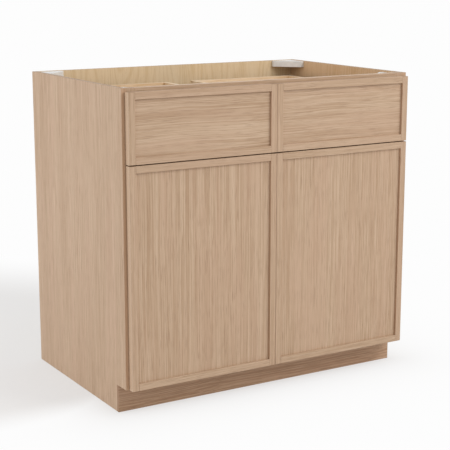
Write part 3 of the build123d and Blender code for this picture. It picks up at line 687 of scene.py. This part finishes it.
def clear_rubber(name, colour):
    """Return soft clear rubber that lets some light through."""
    finish = Finish(name)
    cloud = finish.noise(finish.spot, RUBBER_CLOUDS)
    inputs = {
        "Base Color": clouded(finish, cloud, colour, darkest=0.85),
        "Roughness": finish.rise(cloud, *NOISE_RANGE, *RUBBER_ROUGHNESS),
        "Transmission Weight": RUBBER_CLEAR,
        "IOR": RUBBER_IOR,
    }
    return finish.surface(inputs)


# Solids of the cabinet


def dress(name, material):
    """Give a solid of the cabinet its finish."""
    slots = nodes[name].data.materials
    slots.clear()
    slots.append(material)


class CABINET_OT_oak(bpy.types.Operator):
    """Dress the face frame, the fronts and the toe board in oak"""

    bl_idname = "cabinet.oak"
    bl_label = "Oak Fronts and Frame"

    def execute(self, context):
        for name, axis in oak_grain().items():
            dress(name, oak_finish(name, axis, context.scene.cabinet_wood))
        return {"FINISHED"}


class CABINET_OT_box(bpy.types.Operator):
    """Dress the plywood box: sides, back, bottom and shelf"""

    bl_idname = "cabinet.box"
    bl_label = "Plywood Box"

    def execute(self, context):
        wood = context.scene.cabinet_wood
        for side in SIDES:
            name = f"{side}_side_panel"
            dress(name, side_panel_finish(name, wood))
        dress("back_panel", panel_finish("back_panel", wood, "Z", "Y"))
        dress("bottom_panel", panel_finish("bottom_panel", wood, "X", "Z"))
        dress("shelf", panel_finish("shelf", wood, "X", "Z", banded_front=True))
        return {"FINISHED"}


class CABINET_OT_drawers(bpy.types.Operator):
    """Dress the drawer boxes in pale birch"""

    bl_idname = "cabinet.drawers"
    bl_label = "Drawer Boxes"

    def execute(self, context):
        wood = context.scene.cabinet_wood
        boards = {"outer_side": "Y", "inner_side": "Y", "box_front": "X", "box_back": "X"}
        for side in SIDES:
            for board, axis in boards.items():
                name = f"{side}_drawer_{board}"
                dress(name, drawer_finish(name, axis, wood))
            name = f"{side}_drawer_bottom"
            dress(name, panel_finish(name, wood, "Y", "Z"))
        return {"FINISHED"}


class CABINET_OT_fittings(bpy.types.Operator):
    """Dress the hinges, slides, clips and corner brackets"""

    bl_idname = "cabinet.fittings"
    bl_label = "Hinges, Slides and Brackets"

    def execute(self, context):
        hardware = context.scene.cabinet_hardware
        nickel = plated("nickel plate", hardware.nickel, smooth=0.24, rough=0.40)
        zinc = plated("zinc plate", hardware.zinc, smooth=0.34, rough=0.52)
        white = moulded("white plastic", hardware.white_plastic, roughness=0.42)
        grey = moulded("grey plastic", hardware.grey_plastic, roughness=0.48)
        dress("hinge_arms", nickel)
        dress("drawer_slide_rails", zinc)
        dress("slide_rear_brackets", grey)
        for side in SIDES:
            dress(f"corner_bracket_front_{side}", white)
            dress(f"corner_bracket_back_{side}", white)
            dress(f"{side}_door_hinge_cups", nickel)
            dress(f"{side}_door_hinge_pins", nickel)
            dress(f"{side}_drawer_slide_channels", zinc)
            dress(f"{side}_drawer_middle_slides", zinc)
            dress(f"{side}_drawer_locking_clips", grey)
        return {"FINISHED"}


# Small fittings that stand for plain solids

# Points nearer than this are one point, and a point this near a cutting plane lies on it
WELD_DISTANCE = 1e-6

# Faces that turn by more than this meet in a sharp edge
SHARP_ANGLE = radians(42)


def islands(name):
    """Return the corner points of each separate solid in a node."""
    mesh = bmesh.new()
    mesh.from_mesh(nodes[name].data)
    bmesh.ops.remove_doubles(mesh, verts=mesh.verts[:], dist=WELD_DISTANCE)
    seen = set()
    found = []
    for seed in mesh.verts:
        if seed in seen:
            continue
        seen.add(seed)
        waiting = [seed]
        points = []
        while waiting:
            vertex = waiting.pop()
            points.append(vertex.co.copy())
            for edge in vertex.link_edges:
                other = edge.other_vert(vertex)
                if other not in seen:
                    seen.add(other)
                    waiting.append(other)
        found.append(points)
    mesh.free()
    return found


def span(points):
    """Return the lowest and the highest corner round some points."""
    low = Vector(min(point[i] for point in points) for i in range(3))
    high = Vector(max(point[i] for point in points) for i in range(3))
    return low, high


def make_piece(name, mesh, node, material, slot):
    """Turn a finished mesh into a piece that stands for a solid and moves with its body."""
    data = bpy.data.meshes.new(name)
    mesh.to_mesh(data)
    mesh.free()
    data.materials.append(material)
    data.shade_smooth()
    data.set_sharp_from_angle(angle=SHARP_ANGLE)
    piece = bpy.data.objects.new(name, data)
    bpy.context.scene.collection.objects.link(piece)
    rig.ride(piece, nodes[node]["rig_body"])
    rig.replaces(piece, node)
    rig.slot(piece, slot)


def as_shape(mesh):
    """Return a finished mesh as data that a copy is made from."""
    bmesh.ops.recalc_face_normals(mesh, faces=mesh.faces[:])
    data = bpy.data.meshes.new("shape")
    mesh.to_mesh(data)
    mesh.free()
    return data


def add_copy(mesh, shape, place):
    """Add a shape to a mesh at its place, and let the shape go."""
    first = len(mesh.verts)
    mesh.from_mesh(shape)
    bpy.data.meshes.remove(shape)
    mesh.verts.ensure_lookup_table()
    bmesh.ops.transform(mesh, matrix=place, verts=mesh.verts[first:])


# Screws

# Shares of the head's radius: its flat top, and the rim round the recess
HEAD_TOP = 0.62
RECESS_RIM = 0.06

# Shares of the flat top: how far the cross is drawn in, and how near the middle lines its arms lie
CROSS_WAIST = 0.62
CROSS_REACH = 0.15

# How far the recess narrows towards its floor, and how much of the head's height it may take
RECESS_TAPER = 0.8
RECESS_LIMIT = 0.6

# Radius and drop of each ring of the head, as shares of its radius and height
HEAD_PROFILE = ((0.82, 0.16), (0.95, 0.48), (1.0, 0.82), (1.0, 1.0))

# Shares of the screw below its head: the threaded length, and the width left at its tip
THREADED = 0.8
TIP_WIDTH = 0.25

# On the plain solid: what counts as head, by its radius, and how the shank fits inside its own
HEAD_SHARE = 0.8
SHANK_FIT = 0.86

SCREW_NODES = {
    "cabinet_screws": "cabinet_pan_head_screws",
    "left_door_hinge_screws": "left_hinge_flat_head_screws",
    "right_door_hinge_screws": "right_hinge_flat_head_screws",
    "left_drawer_front_screws": "left_drawer_pan_head_screws",
    "right_drawer_front_screws": "right_drawer_pan_head_screws",
}


def next_ring(mesh, ring, ratio, drop):
    """Draw a ring of edges on to its next place and return the new ring."""
    made = bmesh.ops.extrude_edge_only(mesh, edges=ring)["geom"]
    points = [part for part in made if isinstance(part, bmesh.types.BMVert)]
    bmesh.ops.scale(mesh, vec=(ratio, ratio, 1), verts=points)
    bmesh.ops.translate(mesh, vec=(0, 0, -drop), verts=points)
    chosen = set(points)
    edges = [part for part in made if isinstance(part, bmesh.types.BMEdge)]
    return [edge for edge in edges if chosen.issuperset(edge.verts)]


def sink_cross(mesh, top_radius, rim, depth):
    """Sink a cross into a flat top of three by three faces."""
    cross = []
    for face in mesh.faces:
        centre = face.calc_center_median()
        if min(abs(centre.x), abs(centre.y)) < CROSS_REACH * top_radius:
            cross.append(face)
    bmesh.ops.inset_region(mesh, faces=cross, thickness=rim, use_even_offset=True)
    sunk = bmesh.ops.extrude_face_region(mesh, geom=cross)["geom"]
    floor = [part for part in sunk if isinstance(part, bmesh.types.BMVert)]
    bmesh.ops.scale(mesh, vec=(RECESS_TAPER, RECESS_TAPER, 1), verts=floor)
    bmesh.ops.translate(mesh, vec=(0, 0, -depth), verts=floor)
    bmesh.ops.delete(mesh, geom=[face for face in cross if face.is_valid], context="FACES")


def screw_head(mesh, hardware, radius, height):
    """Add a domed head with a cross recess, and return the open ring round its foot."""
    top_radius = HEAD_TOP * radius
    bmesh.ops.create_grid(mesh, x_segments=3, y_segments=3, size=top_radius)
    rim_points = {vertex for edge in mesh.edges if edge.is_boundary for vertex in edge.verts}
    for vertex in rim_points:
        vertex.co = vertex.co.normalized() * top_radius
    middle = [vertex for vertex in mesh.verts if vertex not in rim_points]
    bmesh.ops.scale(mesh, vec=(CROSS_WAIST, CROSS_WAIST, 1), verts=middle)
    depth = min(hardware.recess_depth, RECESS_LIMIT * height)
    sink_cross(mesh, top_radius, RECESS_RIM * radius, depth)
    bmesh.ops.translate(mesh, vec=(0, 0, height), verts=mesh.verts[:])
    ring = [edge for edge in mesh.edges if edge.is_boundary]
    ring_radius = top_radius
    ring_drop = 0.0
    for share, drop in HEAD_PROFILE:
        ring = next_ring(mesh, ring, share * radius / ring_radius, (drop - ring_drop) * height)
        ring_radius = share * radius
        ring_drop = drop
    return ring


def screw_shape(hardware, head_radius, head_height, shank_radius, reach):
    """Return a screw with a thread, its head standing on the XY plane."""
    mesh = bmesh.new()
    ring = screw_head(mesh, hardware, head_radius, head_height)
    pitch = hardware.thread_pitch
    root = shank_radius - hardware.thread_depth
    ring = next_ring(mesh, ring, root / head_radius, 0.0)
    turns = int(THREADED * reach / pitch)
    for _ in range(turns):
        ring = next_ring(mesh, ring, shank_radius / root, pitch / 2)
        ring = next_ring(mesh, ring, root / shank_radius, pitch / 2)
    ring = next_ring(mesh, ring, TIP_WIDTH, reach - turns * pitch)
    bmesh.ops.edgeloop_fill(mesh, edges=ring)
    return as_shape(mesh)


def screw_places(name):
    """Return the place, the direction and the sizes of each screw in a node, from its plain solid."""
    found = []
    for points in islands(name):
        low, high = span(points)
        size = high - low
        middle = (low + high) / 2
        axis = max(range(3), key=lambda i: size[i])
        wide = []
        for point in points:
            offset = point - middle
            offset[axis] = 0
            wide.append((offset.length, point[axis]))
        head_radius = max(radius for radius, along in wide)
        head = [along for radius, along in wide if radius > HEAD_SHARE * head_radius]
        shank_radius = max(radius for radius, along in wide if radius <= HEAD_SHARE * head_radius)
        outward = 1 if sum(head) / len(head) > middle[axis] else -1
        seat = min(head) if outward > 0 else max(head)
        tip = low[axis] if outward > 0 else high[axis]
        direction = Vector((0, 0, 0))
        direction[axis] = outward
        origin = middle.copy()
        origin[axis] = seat
        sizes = (head_radius, max(head) - min(head), SHANK_FIT * shank_radius, abs(seat - tip))
        found.append((origin, direction, sizes))
    return found


class CABINET_OT_screws(bpy.types.Operator):
    """Make the screws, with cross recesses and threads"""

    bl_idname = "cabinet.screws"
    bl_label = "Screws"

    def execute(self, context):
        hardware = context.scene.cabinet_hardware
        steel = plated("screw steel", hardware.nickel, smooth=0.26, rough=0.42)
        for node, name in SCREW_NODES.items():
            mesh = bmesh.new()
            for origin, direction, sizes in screw_places(node):
                turn = direction.to_track_quat("Z", "Y").to_matrix().to_4x4()
                add_copy(mesh, screw_shape(hardware, *sizes), Matrix.Translation(origin) @ turn)
            make_piece(name, mesh, node, steel, "nickel_steel")
        return {"FINISHED"}


# Bumpers


def bumper_shape(hardware, radius, thickness):
    """Return a flat dome that stands on the XY plane."""
    mesh = bmesh.new()
    steps = hardware.bumper_steps
    bmesh.ops.create_uvsphere(mesh, u_segments=steps, v_segments=steps // 2, radius=radius)
    whole = [*mesh.verts, *mesh.edges, *mesh.faces]
    cut = bmesh.ops.bisect_plane(
        mesh,
        geom=whole,
        dist=WELD_DISTANCE,
        plane_co=(0, 0, 0),
        plane_no=(0, 0, 1),
        clear_inner=True,
    )
    rim = [part for part in cut["geom_cut"] if isinstance(part, bmesh.types.BMEdge)]
    bmesh.ops.edgeloop_fill(mesh, edges=rim)
    bmesh.ops.scale(mesh, vec=(1, 1, thickness / radius), verts=mesh.verts[:])
    return as_shape(mesh)


class CABINET_OT_bumpers(bpy.types.Operator):
    """Make the clear rubber bumpers behind the fronts"""

    bl_idname = "cabinet.bumpers"
    bl_label = "Bumpers"

    def execute(self, context):
        hardware = context.scene.cabinet_hardware
        facing_front = Matrix.Rotation(pi / 2, 4, "X")
        mesh = bmesh.new()
        for points in islands("bumpers"):
            low, high = span(points)
            shape = bumper_shape(hardware, (high.x - low.x) / 2, high.y - low.y)
            seat = Vector(((low.x + high.x) / 2, high.y, (low.z + high.z) / 2))
            add_copy(mesh, shape, Matrix.Translation(seat) @ facing_front)
        rubber = clear_rubber("clear rubber", hardware.rubber)
        make_piece("rubber_bumpers", mesh, "bumpers", rubber, "clear_rubber")
        return {"FINISHED"}


# Shelf pins

# Shares of the plain peg's radius: how the peg fits in its hole, and the rounding of its rims
PEG_FIT = 0.90
PEG_ROUNDING = 0.25
PEG_STEPS = 24

# An edge between two faces that turn by more than this, in radians, is a rim
RIM_TURN = 1.0


def round_edges(mesh, edges, radius, steps):
    """Round some edges of a mesh."""
    bmesh.ops.bevel(
        mesh, geom=edges, offset=radius, affect="EDGES", segments=steps, profile=0.5, material=-1
    )


def add_peg(mesh, middle, length, solid_radius):
    """Add a round peg with rounded rims that lies along X."""
    peg = bmesh.ops.create_cone(
        mesh,
        cap_ends=True,
        segments=PEG_STEPS,
        radius1=PEG_FIT * solid_radius,
        radius2=PEG_FIT * solid_radius,
        depth=length,
        matrix=Matrix.Translation(middle) @ Matrix.Rotation(pi / 2, 4, "Y"),
    )
    points = set(peg["verts"])
    edges = [edge for edge in mesh.edges if points.issuperset(edge.verts)]
    rims = [edge for edge in edges if edge.calc_face_angle(0) > RIM_TURN]
    round_edges(mesh, rims, PEG_ROUNDING * solid_radius, steps=3)


def add_pad(mesh, low, high, inward, corner):
    """Add a flat pad with round corners on the side that looks into the cabinet."""
    middle = (low + high) / 2
    size = high - low
    place = Matrix.Translation(middle) @ Matrix.Diagonal((*size, 1))
    pad = bmesh.ops.create_cube(mesh, size=1, matrix=place)["verts"]
    outer = {vertex for vertex in pad if inward * (vertex.co.x - middle.x) > 0}
    edges = [edge for edge in mesh.edges if outer.issuperset(edge.verts)]
    upright = [edge for edge in edges if abs(edge.verts[0].co.z - edge.verts[1].co.z) > size.z / 2]
    round_edges(mesh, upright, corner, steps=6)


class CABINET_OT_shelf_pins(bpy.types.Operator):
    """Make the shelf pins: a round peg and a rounded pad under the shelf"""

    bl_idname = "cabinet.shelf_pins"
    bl_label = "Shelf Pins"

    def execute(self, context):
        hardware = context.scene.cabinet_hardware
        shelf_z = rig.box("shelf")[0].z
        mesh = bmesh.new()
        for points in islands("shelf_pins"):
            low, high = span(points)
            inward = 1 if low.x < 0 else -1
            wall = -inward * side_inner_x
            buried, free = (low.x, high.x) if inward > 0 else (high.x, low.x)
            middle = Vector(((wall + buried) / 2, (low.y + high.y) / 2, (low.z + high.z) / 2))
            add_peg(mesh, middle, abs(wall - buried), (high.z - low.z) / 2)
            pad_low = Vector((min(wall, free), low.y, shelf_z - hardware.pad_thickness))
            pad_high = Vector((max(wall, free), high.y, shelf_z))
            add_pad(mesh, pad_low, pad_high, inward, hardware.pad_corner)
        bmesh.ops.recalc_face_normals(mesh, faces=mesh.faces[:])
        steel = plated("shelf pin steel", hardware.nickel, smooth=0.26, rough=0.42)
        make_piece("round_shelf_pins", mesh, "shelf_pins", steel, "nickel_steel")
        return {"FINISHED"}


# Stage

# The floor lies a hair below the cabinet, and clouds over a little
FLOOR_GAP = 0.0004
FLOOR_STEPS = 96
FLOOR_CLOUDS = 30.0
FLOOR_DARKEST = 0.985

SENSOR_WIDTH = 36


def seen_directly(shader):
    """Return 1 where the camera, a reflection or a clear piece looks at the surface."""
    path = shader.add("ShaderNodeLightPath").outputs
    mirrored = shader.math("MAXIMUM", path["Is Glossy Ray"], path["Is Transmission Ray"])
    return shader.math("MAXIMUM", path["Is Camera Ray"], mirrored)


def foot_distance(finish):
    """Return how far a place on the floor lies outside the cabinet's foot."""
    toe_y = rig.box("toe_kick")[0].y
    middle = (0, (toe_y + cad_high.y) / 2, 0)
    half_size = (cad_high.x, (cad_high.y - toe_y) / 2, cad_high.z)
    from_middle = finish.vector("ABSOLUTE", finish.vector("SUBTRACT", finish.spot, middle))
    beyond = finish.vector("SUBTRACT", from_middle, half_size)
    outside = finish.vector("MAXIMUM", beyond, (0, 0, 0))
    return finish.distance(outside, (0, 0, 0))


def floor_finish(stage):
    """Return a pale floor that keeps the shadow and fades to the white of the backdrop."""
    finish = Finish("studio floor")
    away = finish.distance(finish.spot, stage.fade_centre)
    behind = finish.rise(away, stage.fade_start, stage.fade_end, bottom=stage.haze)
    forward = finish.times(finish.axes("Object")[1], -1.0)
    ahead = finish.rise(forward, stage.front_start, stage.front_end, bottom=stage.haze)
    steps = finish.times(foot_distance(finish), -1 / stage.contact_reach)
    shade = finish.times(finish.math("EXPONENT", steps), 1 - stage.contact_white)
    contact = finish.minus(1.0, shade)
    fade = finish.math("MINIMUM", finish.math("MAXIMUM", behind, ahead), contact)
    darker = tuple(FLOOR_DARKEST * part for part in stage.floor_colour)
    cloud = finish.noise(finish.spot, FLOOR_CLOUDS)
    colour = finish.blend(cloud, (*stage.floor_colour, 1), (*darker, 1))
    matt = finish.add("ShaderNodeBsdfDiffuse", {"Color": colour})
    white = finish.add("ShaderNodeEmission", {"Color": (*stage.backdrop, 1), "Strength": 1.0})
    factor = finish.times(fade, seen_directly(finish))
    mix = finish.add("ShaderNodeMixShader", {0: factor, 1: matt.outputs[0], 2: white.outputs[0]})
    finish.add("ShaderNodeOutputMaterial", {0: mix.outputs[0]})
    return finish.material


def add_floor(stage):
    """Add the round floor."""
    mesh = bmesh.new()
    bmesh.ops.create_circle(mesh, cap_ends=True, radius=stage.floor_radius, segments=FLOOR_STEPS)
    bmesh.ops.translate(mesh, vec=(0, 0, cad_low.z - FLOOR_GAP), verts=mesh.verts[:])
    data = bpy.data.meshes.new("floor")
    mesh.to_mesh(data)
    mesh.free()
    data.materials.append(floor_finish(stage))
    floor = bpy.data.objects.new("floor", data)
    bpy.context.scene.collection.objects.link(floor)
    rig.stage(floor)


def light_world(stage):
    """Make the even light from all round, with the backdrop's white where it is seen."""
    world = bpy.data.worlds.new("studio")
    world.use_nodes = True
    bpy.context.scene.world = world
    sky = Shader(world.node_tree)
    even = sky.add("ShaderNodeBackground", {"Color": (1, 1, 1, 1), "Strength": stage.sky})
    white = sky.add("ShaderNodeBackground", {"Color": (*stage.backdrop, 1), "Strength": 1.0})
    inputs = {0: seen_directly(sky), 1: even.outputs[0], 2: white.outputs[0]}
    mix = sky.add("ShaderNodeMixShader", inputs)
    sky.add("ShaderNodeOutputWorld", {0: mix.outputs[0]})


def add_lamp(name, place, power, size):
    """Add a square soft lamp that looks at the middle of the cabinet."""
    lamp = bpy.data.lights.new(name, "AREA")
    lamp.energy = power
    lamp.size = size
    lamp.shape = "SQUARE"
    holder = bpy.data.objects.new(name, lamp)
    bpy.context.scene.collection.objects.link(holder)
    middle = (cad_low + cad_high) / 2
    aim = (middle - Vector(place)).to_track_quat("-Z", "Y").to_matrix().to_4x4()
    holder.matrix_world = Matrix.Translation(place) @ aim
    holder.visible_camera = False


def add_camera(stage):
    """Add the camera at the photograph's viewing angle."""
    camera = bpy.data.cameras.new("camera")
    camera.sensor_width = SENSOR_WIDTH
    camera.lens = stage.lens
    holder = bpy.data.objects.new("camera", camera)
    bpy.context.scene.collection.objects.link(holder)
    turn = Euler((pi / 2 - stage.camera_dip, 0, -stage.camera_turn))
    holder.matrix_world = Matrix.Translation(stage.camera_place) @ turn.to_matrix().to_4x4()
    bpy.context.scene.camera = holder


class CABINET_OT_stage(bpy.types.Operator):
    """Make the floor, the light and the camera"""

    bl_idname = "cabinet.stage"
    bl_label = "Stage"

    def execute(self, context):
        stage = context.scene.cabinet_stage
        add_floor(stage)
        light_world(stage)
        add_lamp("key lamp", stage.key_place, stage.key_power, stage.lamp_size)
        add_lamp("side lamp", stage.side_place, stage.side_power, stage.lamp_size)
        add_camera(stage)
        context.scene.view_settings.view_transform = "Standard"
        return {"FINISHED"}


# Add-on

GROUPS = {
    "cabinet_wood": CabinetWood,
    "cabinet_hardware": CabinetHardware,
    "cabinet_stage": CabinetStage,
}

PIECES = (
    CABINET_OT_oak,
    CABINET_OT_box,
    CABINET_OT_drawers,
    CABINET_OT_fittings,
    CABINET_OT_screws,
    CABINET_OT_bumpers,
    CABINET_OT_shelf_pins,
    CABINET_OT_stage,
)


class CABINET_PT_pieces(bpy.types.Panel):
    """Lists the pieces of the cabinet"""

    bl_idname = "CABINET_PT_pieces"
    bl_label = "Kitchen Base Cabinet"
    bl_space_type = "VIEW_3D"
    bl_region_type = "UI"
    bl_category = "Cabinet"

    def draw(self, context):
        for operator in PIECES:
            self.layout.operator(operator.bl_idname)


def register():
    """Register the classes and hang the properties on the scene."""
    for cls in (*GROUPS.values(), *PIECES, CABINET_PT_pieces):
        bpy.utils.register_class(cls)
    for name, group in GROUPS.items():
        setattr(bpy.types.Scene, name, PointerProperty(type=group))


def unregister():
    """Take the properties off the scene and unregister the classes."""
    for name in GROUPS:
        delattr(bpy.types.Scene, name)
    for cls in reversed((*GROUPS.values(), *PIECES, CABINET_PT_pieces)):
        bpy.utils.unregister_class(cls)


def main():
    """Make every piece in order and write the size of the model."""
    register()
    bpy.ops.cabinet.oak()
    bpy.ops.cabinet.box()
    bpy.ops.cabinet.drawers()
    bpy.ops.cabinet.fittings()
    bpy.ops.cabinet.screws()
    bpy.ops.cabinet.bumpers()
    bpy.ops.cabinet.shelf_pins()
    bpy.ops.cabinet.stage()
    low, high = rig.bounds()
    boxes = {"cad": [list(cad_low), list(cad_high)], "visual": [list(low), list(high)]}
    with open(SIZE_FILE, "w") as file:
        json.dump(boxes, file)


if __name__ == "__main__":
    main()
